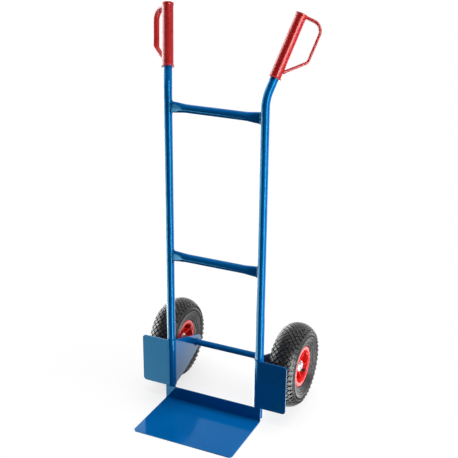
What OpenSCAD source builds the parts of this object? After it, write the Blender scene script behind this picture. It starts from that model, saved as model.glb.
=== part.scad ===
// Two-wheeled hand truck with a bent tube frame, a fixed toe plate, sheet
// guards over pneumatic wheels, and grips with knuckle loops.
// X runs across the truck, -Y is the load side, +Z is up, and Z = 0 is the
// floor. The origin is on the floor under the middle of the whole truck.
// Lengths are in millimetres.

/* [Frame] */
// Distance between the axes of the two upright tubes
stile_spacing = 292; // [240:1:360]
// Outer diameter of the upright tubes
stile_d = 25; // [20:0.5:30]
// Wall of the upright tubes
stile_wall = 2; // [1.5:0.1:3]
// Height at which the handle's axis leaves the upright
bend_z = 978; // [960:1:1200]
// Lean of the handle away from the vertical
handle_tilt = 29; // [15:1:40]
// Turn of the handle's lean from straight back towards the outside
handle_turn = 27; // [0:1:40]
// Radius of the tube's axis in the handle bend
bend_r = 95; // [60:5:140]

/* [Crossbars] */
// Outer diameter of the crossbar tube
bar_d = 25; // [20:0.5:30]
// Wall of the crossbar tube
bar_wall = 1.5; // [1:0.1:2.5]
// Thickness of the crossbar's pressed end, from front to back
bar_end_t = 12.5; // [8:0.5:18]
// Length over which each end is pressed to shape
press_len = 50; // [30:1:70]
// Height of the upper crossbar's axis
upper_bar_z = 925; // [800:1:930]
// Height of the lower crossbar's axis
lower_bar_z = 479; // [300:1:650]

/* [Toe plate] */
// Depth of the toe plate, from the face of its upstand to its front edge
toe_depth = 204; // [150:1:280]
// Thickness of the toe plate
toe_t = 3; // [2:0.25:5]
// Height of the toe plate's upstand
upstand_h = 46; // [35:1:70]
// Inner radius of the toe plate's bend
toe_bend_r = 4; // [2:0.5:8]
// Radius of the toe plate's front corners
toe_corner_r = 10; // [4:1:30]

/* [Wheel guards] */
// Thickness of the guard sheet
guard_t = 3; // [2:0.25:4]
// Reach of the guard's front plate outwards from the upright's axis
guard_reach = 91; // [70:1:110]
// Height of the guard's front plate
guard_h = 156; // [130:1:190]
// Gap between the toe plate's upstand and the guard
guard_gap = 1.5; // [1:0.5:4]
// Radius of the guard's outer corners
guard_corner_r = 10; // [4:1:25]
// Step up from the guard's lower edge to the side plate's
side_step = 6; // [3:1:12]
// Depth by which the side plate's lower edge curves down from a straight line
side_sag = 7; // [0:1:12]
// Radius of the side plate's rear end
lobe_r = 22; // [18:1:26]
// Distance of the rear end's centre behind the axle
lobe_back = 11; // [0:1:14]
// Distance of the rear end's centre below the axle
lobe_drop = 2; // [0:1:6]

/* [Wheels] */
// Outer diameter of the tyre
tyre_d = 260; // [240:1:320]
// Width of the tyre
tyre_w = 86; // [78:1:104]
// Thickness of the tyre's wall
tyre_wall = 6; // [4:0.5:8]
// Radius of the seat that the tyre's beads grip
bead_seat_r = 50.8; // [48:0.1:54]
// Width between the outer faces of the rim's lips
rim_w = 63; // [58:1:66]
// Distance from the upright's axis out to the tyre's inner side
tyre_side_gap = 11; // [8:1:25]
// Distance from the upright's axis back to the tyre
tyre_back_gap = 6; // [4:1:30]
// Length of the hub
hub_len = 40; // [34:1:50]
// Outer diameter of the hub
hub_d = 41; // [38:1:46]
// Number of ribs in each rim half
rib_count = 6; // [4:1:8]
// Thickness of a rib
rib_t = 4; // [3:0.5:5]
// Thickness of the wall of the inner tube
tube_wall = 2; // [1:0.5:3]

/* [Axle] */
// Diameter of the axle
axle_d = 20; // [16:0.5:24]
// Diameter of the bearing rollers
roller_d = 2.9; // [2.5:0.1:3.3]
// Number of rollers in each wheel
roller_count = 12; // [8:1:14]
// Wall of the steel sleeve in the hub
sleeve_wall = 2; // [1.5:0.5:3]
// Outer diameter of the axle spacers
spacer_d = 27; // [26:1:32]
// Outer diameter of the washers
washer_d = 34; // [30:1:38]
// Thickness of the washers
washer_t = 2; // [1:0.5:3]
// Outer diameter of the push-on axle caps
cap_d = 33; // [30:1:36]
// Height of the axle caps
cap_h = 6.5; // [5:0.5:10]

/* [Grips] */
// Distance along the handle from its bend to the grip
grip_start = 59; // [50:1:90]
// Length of the grip
grip_len = 182; // [165:1:210]
// Thickness of the grip around the tube
grip_wall = 3.5; // [2.5:0.5:5]
// Thickness of the grip's end cap
grip_cap_t = 3.5; // [3:0.5:6]
// Diameter of the flange at the grip's lower end
flange_d = 37; // [35:1:44]
// Thickness of that flange
flange_t = 4; // [3:0.5:8]
// Distance of the knuckle loop's strap from the grip's axis
loop_reach = 65; // [58:1:80]
// Turn of the knuckle loop from the handle's lean towards the outside
loop_turn = 31; // [0:1:45]
// Width of the loop's strap
strap_w = 18; // [12:1:22]
// Thickness of the loop's strap
strap_t = 7.5; // [4:0.5:9]
// Radius of the strap's axis in the upper bend
loop_top_r = 28; // [15:1:32]
// Radius of the strap's axis in the lower bend
loop_low_r = 14; // [8:1:16]
// Angle of the loop's lower arm to the grip
loop_slant = 45; // [40:1:55]
// Distance from the grip's lower end to where the lower arm meets it
loop_foot = 24; // [16:1:40]

/* [Hidden] */
// Named clearances
run_fit = 0.05;      // radial, between a roller and what it runs on
side_play = 0.25;    // axial, between a turning hub and its washer
slide_fit = 0.25;    // radial, of washers and spacers on the axle
cage_fit = 0.1;      // around a roller in its slot
grip_fit = 0.05;     // radial, of the grip on its tube
hole_fit = 0.3;      // radial, of bolts and the valve in their holes
cope_fit = 0.05;     // between a crossbar's end and the upright
cut = 1;             // length by which a cutting shape runs past a face
lap = 0.5;           // overlap of shapes that make one solid
seam = 0.05;         // step where the straight lengths of a tube or strap leave its bend

frame_blue = [0.03, 0.30, 0.58];
grip_red = [0.72, 0.10, 0.11];
rim_red = [0.85, 0.10, 0.09];
rubber_black = [0.13, 0.13, 0.13];
zinc = [0.72, 0.73, 0.75];
steel = [0.55, 0.56, 0.58];
nylon_white = [0.88, 0.88, 0.84];

// Frame
stile_r = stile_d / 2;
stile_x = stile_spacing / 2;
tyre_r = tyre_d / 2;
front_face = -stile_r - toe_t;
axle_back = tyre_r + tyre_back_gap;
stile_y = (toe_depth - front_face - axle_back - tyre_r) / 2;
stile_foot_z = toe_t + toe_bend_r;
bend_start_z = bend_z - bend_r * tan(handle_tilt / 2);
handle_len = grip_start + grip_len - grip_cap_t;

// Toe plate and guards
toe_w = stile_spacing + stile_d;
guard_z = upstand_h + guard_gap;
side_outer_x = stile_x - stile_r;

// Axle and wheels
axle_r = axle_d / 2;
axle_y = stile_y + axle_back;
axle_z = tyre_r;
wheel_x = stile_x + tyre_side_gap + tyre_w / 2;
sleeve_in_r = axle_r + roller_d + 2 * run_fit;
sleeve_out_r = sleeve_in_r + sleeve_wall;
roller_orbit = (axle_r + sleeve_in_r) / 2;
roller_share = 0.75;  // of the hub's length, filled by the rollers
roller_len = hub_len * roller_share;
cage_gap = 1;         // between the cage's end and the hub's
cage_len = hub_len - 2 * cage_gap;
inner_washer_x = wheel_x - hub_len / 2 - side_play - washer_t;
outer_washer_x = wheel_x + hub_len / 2 + side_play;
cap_x = outer_washer_x + washer_t;
cap_wall = 1.2;
axle_end_x = cap_x + cap_h - 2 * cap_wall;

// Rim: radii outwards from the hub, and distances out from the wheel's middle
web_t = 5;
barrel_t = 4.3;       // from the barrel's inside to the bead seat
barrel_r = bead_seat_r - barrel_t;
lip_h = 11.7;         // height of the lip over the bead seat
lip_r = bead_seat_r + lip_h;
lip_t = 3.5;
lip_a = rim_w / 2;
lip_flat = 5;         // width of the lip's flat face
lip_edge = 1.5;       // size of the lip's broken edge
lip_back_edge = 1;    // the same, on the side towards the tyre
// Flare of the barrel into the lip: rise over the barrel, depth below the lip
flare = [[1, 9], [3, 4], [6, 1.5]];
hub_draft = 0.5;      // taper of the hub's outside, to each side of its size
seat_step = 2;        // drop of the rim's surface between the two bead seats
seat_run = 4;         // width over which it drops
rib_sink = 6;         // of a rib's outer end below the lip's face
rib_hub_sink = 2;     // of its inner end below the hub's face
bolt_orbit = (hub_d / 2 + barrel_r) / 2;
bolt_count = 3;
bolt_d = 6;
head_d = 11.5;
head_t = 4;
nut_t = 5;
bolt_tail = 1;        // length of a bolt past its nut

// Tyre section
belly_drop = 2;       // of the widest part below the section's middle
belly_r = (tyre_r + bead_seat_r) / 2 - belly_drop;
crown_h = tyre_r - belly_r;
heel_h = belly_r - bead_seat_r;
heel_extra = 8;       // length of the section below the seat, which cuts it off
bead_w = 8;
bead_out = lip_a - lip_t;
bead_in = bead_out - bead_w;
tyre_lip_gap = 0.5;   // between the tyre's wall and the edge of the lip
tyre_bulge = 0.84;
tube_bulge = 0.94;
tube_half_w = tyre_w / 2 - tyre_wall;
tube_seat_gap = 0.5;  // between the inner tube and the rim
tube_heel_h = heel_h - tube_seat_gap;

// Valve: its angles are from the top of the wheel towards the back
right_valve_angle = 137;
left_valve_angle = 160;
valve_drop = 12.8;    // of the stem's outward leg below the bead seat
valve_orbit = bead_seat_r - valve_drop;
valve_bend_r = 8;
valve_a = 12;
valve_d = 7;
valve_sink = 3;       // of the stem's tip below the lip's face
valve_tip_a = lip_a - valve_sink;
valve_cap_d = 9;
valve_cap_len = 9;
valve_cap_top = 2;    // thickness of the cap's closed end

// Grips
grip_in_r = stile_r + grip_fit;
grip_out_r = stile_r + grip_wall;
grip_top = grip_start + grip_len;

$fn = 64;

// Placing ---------------------------------------------------------------

// Draws the right-hand version of a piece, or its mirror image on the left
module on_side(side) {
    if (side > 0) children();
    else mirror([1, 0, 0]) children();
}

// Puts the upright's foot frame in place: Z up along its axis
module at_stile(side) {
    on_side(side) translate([stile_x, stile_y, 0]) children();
}

// Handle frame: Z along the handle from the bend, Y back and down
module at_handle(side) {
    at_stile(side) rotate([0, 0, -handle_turn])
        translate([0, 0, bend_z]) rotate([-handle_tilt, 0, 0]) children();
}

// Axle frame: Z runs outwards along the axle from the truck's middle plane
module at_axle(side) {
    on_side(side) translate([0, axle_y, axle_z]) rotate([0, 90, 0]) children();
}

// Wheel frame: Z outwards along the axle from the wheel's middle plane
module at_wheel(side) {
    at_axle(side) translate([0, 0, wheel_x]) children();
}

// Wheel frame turned so that X points at the valve
module at_valve(side) {
    angle = side > 0 ? right_valve_angle : left_valve_angle;
    at_wheel(side) rotate([0, 0, 180 - angle]) children();
}

module ring(r_in, r_out, len) {
    difference() {
        cylinder(r = r_out, h = len);
        translate([0, 0, -cut]) cylinder(r = r_in, h = len + 2 * cut);
    }
}

// Frame -----------------------------------------------------------------

// Solid that follows the upright's axis, longer than the tube by extra at
// both ends. The bend turns about an axis bend_r behind the upright, and is a
// hair fuller than the straight lengths, which reach a little way into it.
module stile_core(r, extra) {
    translate([0, 0, bend_start_z]) {
        translate([0, 0, stile_foot_z - extra - bend_start_z])
            cylinder(r = r, h = bend_start_z - stile_foot_z + extra + lap);
        translate([0, bend_r, 0]) {
            rotate([90, 0, -90]) rotate_extrude(angle = handle_tilt)
                translate([bend_r, 0]) circle(r = r + seam);
            rotate([-handle_tilt, 0, 0]) translate([0, -bend_r, -lap])
                cylinder(r = r, h = handle_len - (bend_z - bend_start_z) + extra + lap);
        }
    }
}

module stile(side) {
    color(frame_blue) at_stile(side) rotate([0, 0, -handle_turn]) difference() {
        stile_core(stile_r, 0);
        stile_core(stile_r - stile_wall, cut);
    }
}

// Crossbar section: a round tube pressed to a thickness t keeps its girth, so
// its height follows from its thickness
function pressed_h(t) = (PI * bar_d - (PI - 2) * t) / 2;
function section_pt(i, n, t, inset) =
    let (a = 360 * (i + 0.5) / n, r = t / 2 - inset, up = sin(a) > 0 ? 1 : -1)
    [r * cos(a), up * (pressed_h(t) - t) / 2 + r * sin(a)];
// The pressing fades in along a smooth S
function ease(f) = f * f * (3 - 2 * f);
function cope_x(y) = stile_x - cope_fit - sqrt(max(0, stile_r * stile_r - y * y));

section_n = 32;
press_rings = 7;
bar_stations = concat(
    [for (i = [0:press_rings]) [-1, 1 - i / press_rings]],
    [for (i = [0:press_rings]) [1, i / press_rings]]
);

// One ring of points: f runs from 0 where the tube is round to 1 at its end
function bar_ring(side, f, inset) =
    let (t = bar_d + (bar_end_t - bar_d) * ease(f))
    [for (i = [0:section_n - 1])
        let (p = section_pt(i, section_n, t, inset))
        [side * (cope_x(p[0]) - press_len * (1 - f)), p[0], p[1]]];

// Two triangles for each pair of neighbouring points on rings a and b
function skin(a, b) = [for (i = [0:section_n - 1])
    let (j = (i + 1) % section_n) each [[a + i, a + j, b + j], [a + i, b + j, b + i]]];

module crossbar(z) {
    rings = len(bar_stations);
    last = rings - 1;
    inner = rings * section_n;
    points = concat(
        [for (s = bar_stations) each bar_ring(s[0], s[1], 0)],
        [for (s = bar_stations) each bar_ring(s[0], s[1], bar_wall)]
    );
    faces = concat(
        [for (k = [0:last - 1]) each skin((k + 1) * section_n, k * section_n)],
        [for (k = [0:last - 1])
            each skin(inner + k * section_n, inner + (k + 1) * section_n)],
        skin(0, inner),
        skin(inner + last * section_n, last * section_n)
    );
    color(frame_blue) translate([0, stile_y, z]) polyhedron(points, faces);
}

// Quarter of a ring, in the quadrant where both coordinates are negative
module quarter_bend(r_in, r_out) {
    intersection() {
        difference() {
            circle(r = r_out);
            circle(r = r_in);
        }
        translate([-r_out - cut, -r_out - cut]) square(r_out + cut);
    }
}

// Rectangle from the origin whose two far corners are rounded
module far_rounded(w, h, r) {
    square([w - r, h]);
    translate([0, r]) square([w, h - 2 * r]);
    for (y = [r, h - r]) translate([w - r, y]) circle(r = r);
}

module toe_plate() {
    bend_out = toe_t + toe_bend_r;
    face_y = stile_y + front_face;
    color(frame_blue) union() {
        // blade
        translate([-toe_w / 2, face_y - toe_bend_r, 0]) mirror([0, 1, 0])
            rotate([0, 0, 90]) mirror([0, 1, 0])
                linear_extrude(toe_t)
                    far_rounded(toe_depth - toe_bend_r, toe_w, toe_corner_r);
        // bend
        translate([-toe_w / 2, face_y - toe_bend_r, bend_out])
            rotate([90, 0, 90]) linear_extrude(toe_w)
                mirror([1, 0]) quarter_bend(toe_bend_r, bend_out);
        // upstand
        translate([-toe_w / 2, face_y, bend_out])
            cube([toe_w, toe_t, upstand_h - bend_out]);
    }
}

// Side plate outline: distances back from the upright's axis, heights
lobe_c = [axle_back + lobe_back, axle_z - lobe_drop];
side_top = [0, guard_z + guard_h];
side_foot = [0, guard_z + side_step];
edge_steps = 12;
// Point where the line from p touches the rear end, on its upper or lower side
function touch(p, up) =
    let (v = lobe_c - p, d = norm(v), a = atan2(v[1], v[0]) + up * asin(lobe_r / d),
         len = sqrt(d * d - lobe_r * lobe_r))
    p + len * [cos(a), sin(a)];
function lower_edge(f) =
    let (end = touch(side_foot, -1))
    side_foot + f * (end - side_foot) - [0, 4 * side_sag * f * (1 - f) * (1 - f / 2)];

module side_outline() {
    polygon(concat(
        [for (i = [0:edge_steps]) lower_edge(i / edge_steps)],
        [lobe_c, touch(side_top, 1), side_top]
    ));
    translate(lobe_c) circle(r = lobe_r);
}

module wheel_guard(side) {
    color(frame_blue) at_stile(side) difference() {
        union() {
            // front plate
            translate([0, -stile_r, guard_z]) rotate([90, 0, 0])
                linear_extrude(guard_t) far_rounded(guard_reach, guard_h, guard_corner_r);
            // bend round the upright
            translate([0, 0, guard_z]) linear_extrude(guard_h)
                quarter_bend(stile_r, stile_r + guard_t);
            // side plate
            translate([-stile_r - guard_t, 0, 0]) rotate([90, 0, 90])
                linear_extrude(guard_t) side_outline();
        }
        translate([-stile_r - guard_t - cut, axle_back, axle_z]) rotate([0, 90, 0])
            cylinder(r = axle_r, h = guard_t + 2 * cut);
    }
}

// Axle and what is on it --------------------------------------------------

module axle() {
    chamfer = 1;
    color(frame_blue) at_axle(1) union() {
        translate([0, 0, chamfer - axle_end_x])
            cylinder(r = axle_r, h = 2 * (axle_end_x - chamfer));
        for (m = [0, 1]) mirror([0, 0, m])
            translate([0, 0, axle_end_x - chamfer])
                cylinder(r1 = axle_r, r2 = axle_r - chamfer, h = chamfer);
    }
}

module axle_spacer(side) {
    color(zinc) at_axle(side) translate([0, 0, side_outer_x])
        ring(axle_r + slide_fit, spacer_d / 2, inner_washer_x - side_outer_x);
}

module washer(side, x) {
    color(zinc) at_axle(side) translate([0, 0, x])
        ring(axle_r + slide_fit, washer_d / 2, washer_t);
}

// Push-on cap: a flange that bites the axle, with a dome over the axle's end
module axle_cap(side) {
    dome_gap = 1;
    dome_r = axle_r + cap_wall + dome_gap;
    shoulder = 1.5;
    color(zinc) at_axle(side) translate([0, 0, cap_x]) rotate_extrude()
        polygon([
            [axle_r, 0], [cap_d / 2 - cap_wall, 0], [cap_d / 2, cap_wall],
            [cap_d / 2 - cap_wall, 2 * cap_wall], [dome_r, 2 * cap_wall],
            [dome_r, cap_h - 2 * cap_wall], [dome_r - shoulder, cap_h - cap_wall / 2],
            [dome_r / 2, cap_h], [0, cap_h],
            [0, cap_h - cap_wall], [dome_r - cap_wall, cap_h - 2 * cap_wall],
            [dome_r - cap_wall, cap_wall], [axle_r, cap_wall]
        ]);
}

// Wheels ------------------------------------------------------------------

// Section of the tyre or tube: radius and distance from the middle plane.
// The crown and the heel are halves of two flattened ovals.
section_steps = 20;
function oval(t, half_w, up_h, down_h, bulge) =
    let (c = cos(t), s = sin(t), h = s > 0 ? up_h : down_h)
    [belly_r + h * sign(s) * pow(abs(s), bulge), half_w * sign(c) * pow(abs(c), bulge)];
module oval_section(half_w, up_h, down_h, bulge) {
    polygon([for (i = [0:2 * section_steps - 1])
        oval(180 * (i + 0.5) / section_steps, half_w, up_h, down_h, bulge)]);
}

module tube_section(inset) {
    oval_section(tube_half_w - inset, crown_h - tyre_wall - inset,
                 tube_heel_h - inset, tube_bulge);
}
// Radius of the inner tube's surface nearest the rim, at a distance a from the
// middle plane; the valve reaches from there half-way through the tube's wall
function tube_floor(a) =
    let (c = pow(a / tube_half_w, 1 / tube_bulge))
    belly_r - tube_heel_h * pow(1 - c * c, tube_bulge / 2);
valve_foot_r = tube_floor(valve_a + valve_d / 2) + tube_wall / 2;

module tyre(side) {
    color(rubber_black) at_wheel(side) rotate_extrude($fn = 128) difference() {
        oval_section(tyre_w / 2, crown_h, heel_h + heel_extra, tyre_bulge);
        tube_section(0);
        translate([0, -bead_in]) square([belly_r, 2 * bead_in]);
        // the rim's seat and lips
        translate([0, -tyre_w]) square([bead_seat_r, 2 * tyre_w]);
        for (m = [0, 1]) mirror([0, m]) translate([0, bead_out])
            square([lip_r + tyre_lip_gap, tyre_w]);
    }
}

module inner_tube(side) {
    color(rubber_black) at_valve(side) difference() {
        rotate_extrude() difference() {
            tube_section(0);
            tube_section(tube_wall);
        }
        valve_core(valve_d / 2);
    }
}

// Half of the rim, from the middle plane outwards
module rim_half() {
    rib_in_r = hub_d / 2 - 2 * hub_draft;
    rib_out_r = barrel_r + flare[0][0];
    low_seat_r = bead_seat_r - seat_step;
    rotate_extrude() polygon(concat(
        [[sleeve_out_r, 0], [sleeve_out_r, hub_len / 2]],
        [[hub_d / 2 - hub_draft, hub_len / 2], [hub_d / 2 + hub_draft, web_t]],
        [[barrel_r, web_t]],
        [for (step = flare) [barrel_r + step[0], lip_a - step[1]]],
        [[lip_r - lip_flat, lip_a], [lip_r - lip_edge, lip_a], [lip_r, lip_a - lip_edge]],
        [[lip_r, bead_out + lip_back_edge], [lip_r - lip_back_edge, bead_out]],
        [[bead_seat_r, bead_out], [bead_seat_r, bead_in]],
        [[low_seat_r, bead_in - seat_run], [low_seat_r, 0]]
    ));
    for (i = [0:rib_count - 1]) rotate([0, 0, 360 * (i + 0.5) / rib_count])
        translate([0, rib_t / 2, 0]) rotate([90, 0, 0]) linear_extrude(rib_t)
            polygon([
                [rib_in_r, web_t - cut], [rib_in_r, hub_len / 2 - rib_hub_sink],
                [rib_out_r, lip_a - rib_sink], [rib_out_r, web_t - cut]
            ]);
}

// Bolts sit in the middle of bays between ribs, and none in the valve's bay
module bolt_places() {
    for (i = [0:bolt_count - 1]) {
        bay = 1 + floor(i * rib_count / bolt_count);
        rotate([0, 0, 360 * bay / rib_count]) translate([bolt_orbit, 0, 0]) children();
    }
}

module bolt_holes(depth) {
    bolt_places() translate([0, 0, -cut]) cylinder(r = bolt_d / 2 + hole_fit, h = depth + cut);
}

// Solid round the valve's path: in through the rim's barrel, then outwards
module valve_core(r) {
    translate([valve_orbit + valve_bend_r, 0, valve_a]) rotate([0, 90, 0])
        cylinder(r = r, h = valve_foot_r - valve_orbit - valve_bend_r);
    translate([valve_orbit + valve_bend_r, 0, valve_a + valve_bend_r])
        rotate([90, 0, 0]) rotate([0, 0, 180]) rotate_extrude(angle = 90)
            translate([valve_bend_r, 0]) circle(r = r);
    translate([valve_orbit, 0, valve_a + valve_bend_r])
        cylinder(r = r, h = valve_tip_a - valve_a - valve_bend_r);
}

module rim_outer_half(side) {
    color(rim_red) at_valve(side) difference() {
        rim_half();
        bolt_holes(web_t + cut);
        valve_core(valve_d / 2 + hole_fit);
    }
}

module rim_inner_half(side) {
    color(rim_red) at_valve(side) mirror([0, 0, 1]) difference() {
        rim_half();
        bolt_holes(web_t + cut);
    }
}

module rim_bolts(side) {
    color(zinc) at_valve(side) bolt_places() {
        translate([0, 0, web_t]) cylinder(r = head_d / 2, h = head_t, $fn = 6);
        translate([0, 0, -web_t - nut_t - bolt_tail])
            cylinder(r = bolt_d / 2, h = 2 * web_t + nut_t + bolt_tail);
    }
}

module rim_nuts(side) {
    color(zinc) at_valve(side) bolt_places()
        translate([0, 0, -web_t - nut_t]) difference() {
            cylinder(r = head_d / 2, h = nut_t, $fn = 6);
            translate([0, 0, -cut]) cylinder(r = bolt_d / 2, h = nut_t + 2 * cut);
        }
}

module hub_sleeve(side) {
    color(steel) at_wheel(side) translate([0, 0, -hub_len / 2])
        ring(sleeve_in_r, sleeve_out_r, hub_len);
}

module roller_places() {
    for (i = [0:roller_count - 1]) rotate([0, 0, 360 * i / roller_count])
        translate([roller_orbit, 0, 0]) children();
}

module roller_cage(side) {
    slot_w = roller_d + 2 * cage_fit;
    color(nylon_white) at_wheel(side) difference() {
        translate([0, 0, -cage_len / 2])
            ring(axle_r + 3 * run_fit, sleeve_in_r - 3 * run_fit, cage_len);
        roller_places() translate([-roller_d, -slot_w / 2, -roller_len / 2 - cage_fit])
            cube([2 * roller_d, slot_w, roller_len + 2 * cage_fit]);
    }
}

module bearing_rollers(side) {
    color(steel) at_wheel(side) roller_places() translate([0, 0, -roller_len / 2])
        cylinder(r = roller_d / 2, h = roller_len, $fn = 24);
}

module valve_stem(side) {
    color(rubber_black) at_valve(side) valve_core(valve_d / 2);
}

module valve_cap(side) {
    color(rubber_black) at_valve(side)
        translate([valve_orbit, 0, valve_tip_a - valve_cap_len + valve_cap_top]) difference() {
            cylinder(r = valve_cap_d / 2, h = valve_cap_len);
            translate([0, 0, -cut])
                cylinder(r = valve_d / 2, h = valve_cap_len - valve_cap_top + cut);
        }
}

// Grips -------------------------------------------------------------------

// Strap section with round edges: thickness along X, width along Y
module strap_section(extra = 0) {
    half_w = (strap_w - strap_t) / 2;
    square([strap_t + 2 * extra, 2 * half_w], center = true);
    for (y = [-half_w, half_w]) translate([0, y]) circle(r = strap_t / 2 + extra);
}

// Knuckle loop in the plane of Y and Z, with Z along the grip from its bend.
// The straight lengths reach a little way into the bends, which are a hair
// fuller
module knuckle_loop() {
    top_z = grip_top - strap_t / 2;
    corner_z = grip_start + loop_foot + (loop_reach - grip_out_r) / tan(loop_slant);
    low_z = corner_z + loop_low_r * tan(loop_slant / 2);
    arm_y = loop_reach - loop_low_r * (1 - cos(loop_slant));
    arm_z = low_z - loop_low_r * sin(loop_slant);
    // the arm ends where all of its end is inside the sleeve
    sleeve_y = sqrt(grip_out_r * grip_out_r - strap_w * strap_w / 4);
    arm_len = (arm_y - sleeve_y) / sin(loop_slant) + strap_t / 2 / tan(loop_slant);
    // upper arm
    translate([0, 0, top_z]) rotate([-90, 0, 0])
        linear_extrude(loop_reach - loop_top_r + lap) rotate([0, 0, 90]) strap_section();
    translate([0, loop_reach - loop_top_r, top_z - loop_top_r]) rotate([90, 0, 90])
        rotate_extrude(angle = 90) translate([loop_top_r, 0]) strap_section(seam);
    // strap along the grip
    translate([0, loop_reach, low_z - lap])
        linear_extrude(top_z - loop_top_r - low_z + 2 * lap)
            rotate([0, 0, 90]) strap_section();
    // lower bend and arm
    translate([0, loop_reach - loop_low_r, low_z]) rotate([-loop_slant, 0, 0])
        rotate([90, 0, 90]) rotate_extrude(angle = loop_slant)
            translate([loop_low_r, 0]) strap_section(seam);
    translate([0, arm_y, arm_z]) rotate([180 - loop_slant, 0, 0]) translate([0, 0, -lap])
        linear_extrude(arm_len + lap) rotate([0, 0, 90]) strap_section();
}

module grip(side) {
    color(grip_red) at_handle(side) difference() {
        union() {
            translate([0, 0, grip_start]) cylinder(r = grip_out_r, h = grip_len);
            translate([0, 0, grip_start]) cylinder(r = flange_d / 2, h = flange_t);
            rotate([0, 0, -loop_turn]) knuckle_loop();
        }
        translate([0, 0, grip_start - cut])
            cylinder(r = grip_in_r, h = grip_len - grip_cap_t + cut);
    }
}

// Output ------------------------------------------------------------------

stile(-1);  // left_stile
stile(1);  // right_stile
crossbar(upper_bar_z);  // upper_crossbar
crossbar(lower_bar_z);  // lower_crossbar
toe_plate();
wheel_guard(-1);  // left_wheel_guard
wheel_guard(1);  // right_wheel_guard
axle();
grip(-1);  // left_grip
grip(1);  // right_grip
axle_spacer(-1);  // left_axle_spacer
axle_spacer(1);  // right_axle_spacer
washer(-1, inner_washer_x);  // left_inner_washer
washer(1, inner_washer_x);  // right_inner_washer
washer(-1, outer_washer_x);  // left_outer_washer
washer(1, outer_washer_x);  // right_outer_washer
axle_cap(-1);  // left_axle_cap
axle_cap(1);  // right_axle_cap
tyre(-1);  // left_tyre
tyre(1);  // right_tyre
inner_tube(-1);  // left_inner_tube
inner_tube(1);  // right_inner_tube
rim_outer_half(-1);  // left_rim_outer_half
rim_outer_half(1);  // right_rim_outer_half
rim_inner_half(-1);  // left_rim_inner_half
rim_inner_half(1);  // right_rim_inner_half
rim_bolts(-1);  // left_rim_bolts
rim_bolts(1);  // right_rim_bolts
rim_nuts(-1);  // left_rim_nuts
rim_nuts(1);  // right_rim_nuts
hub_sleeve(-1);  // left_hub_sleeve
hub_sleeve(1);  // right_hub_sleeve
roller_cage(-1);  // left_roller_cage
roller_cage(1);  // right_roller_cage
bearing_rollers(-1);  // left_bearing_rollers
bearing_rollers(1);  // right_bearing_rollers
valve_stem(-1);  // left_valve_stem
valve_stem(1);  // right_valve_stem
valve_cap(-1);  // left_valve_cap
valve_cap(1);  // right_valve_cap
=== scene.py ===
"""A two-wheeled hand truck: bent blue tubes and sheet, red grips with knuckle
loops, and pneumatic tyres on ribbed red rims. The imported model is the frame,
and everything here is built on it, in metres, with -Y the load side."""
import math
from functools import partial

import bmesh
import bpy
from mathutils import Matrix, Vector


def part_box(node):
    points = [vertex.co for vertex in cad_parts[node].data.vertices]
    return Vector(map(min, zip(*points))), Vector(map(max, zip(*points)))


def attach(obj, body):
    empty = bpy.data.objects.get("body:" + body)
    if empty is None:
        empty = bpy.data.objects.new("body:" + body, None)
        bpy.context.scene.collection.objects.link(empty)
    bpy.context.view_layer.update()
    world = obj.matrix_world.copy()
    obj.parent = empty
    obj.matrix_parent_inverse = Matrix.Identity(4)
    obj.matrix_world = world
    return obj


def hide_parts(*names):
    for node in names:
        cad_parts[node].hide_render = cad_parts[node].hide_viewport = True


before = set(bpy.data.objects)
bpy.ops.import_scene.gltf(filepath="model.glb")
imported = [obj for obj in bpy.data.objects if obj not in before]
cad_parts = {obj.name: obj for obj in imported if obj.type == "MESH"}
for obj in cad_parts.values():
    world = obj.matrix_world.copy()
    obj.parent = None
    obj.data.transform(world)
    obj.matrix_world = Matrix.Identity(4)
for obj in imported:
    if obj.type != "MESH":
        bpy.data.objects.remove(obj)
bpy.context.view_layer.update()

RIGHT, LEFT = 1, -1
SIDES = ((RIGHT, "right"), (LEFT, "left"))

# ---- Uprights -------------------------------------------------------------
# Two steel tubes carry everything. Each is cut square at the foot and bent on
# a former near the top, back and a little outwards, to become the handle.
# They are welded to the rest, then enamelled in gloss blue.
tube_r = 0.0125
tube_wall = 0.002
tube_edge = 0.0004
bend_height = 0.978
bend_r = 0.095
handle_tilt = math.radians(29)
handle_turn = math.radians(27)
stile_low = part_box("right_stile")[0]
stile_x, stile_y, foot_z = stile_low.x + tube_r, stile_low.y + tube_r, stile_low.z
grip_top = 0.2375
bend_start = bend_height - bend_r * math.tan(handle_tilt / 2)


def feed(tree, socket, value):
    """Links a socket, or a node's first output, into a socket, or sets its value."""
    if isinstance(value, bpy.types.Node):
        value = value.outputs[0]
    if isinstance(value, bpy.types.NodeSocket):
        tree.links.new(value, socket)
    else:
        socket.default_value = value


def wire(tree, node, **values):
    """Feeds a node's inputs. A space in an input's name is written _."""
    for label, value in values.items():
        feed(tree, node.inputs[label.replace("_", " ")], value)
    return node


def add_node(tree, kind, **values):
    return wire(tree, tree.nodes.new(kind), **values)


def calc(tree, operation, *values):
    """A maths node on sockets or numbers, in a shader or a geometry tree."""
    node = tree.nodes.new("ShaderNodeMath")
    node.operation = operation
    for socket, value in zip(node.inputs, values):
        feed(tree, socket, value)
    return node


def noise(tree, vector, scale, detail=3.0):
    return add_node(tree, "ShaderNodeTexNoise", Vector=vector, Scale=scale, Detail=detail).outputs["Fac"]


def spread(tree, value, low, high, to_low=0.0, to_high=1.0):
    """Stretches the part of value from low to high over to_low to to_high."""
    return add_node(tree, "ShaderNodeMapRange", Value=value, From_Min=low, From_Max=high,
                    To_Min=to_low, To_Max=to_high)


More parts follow.
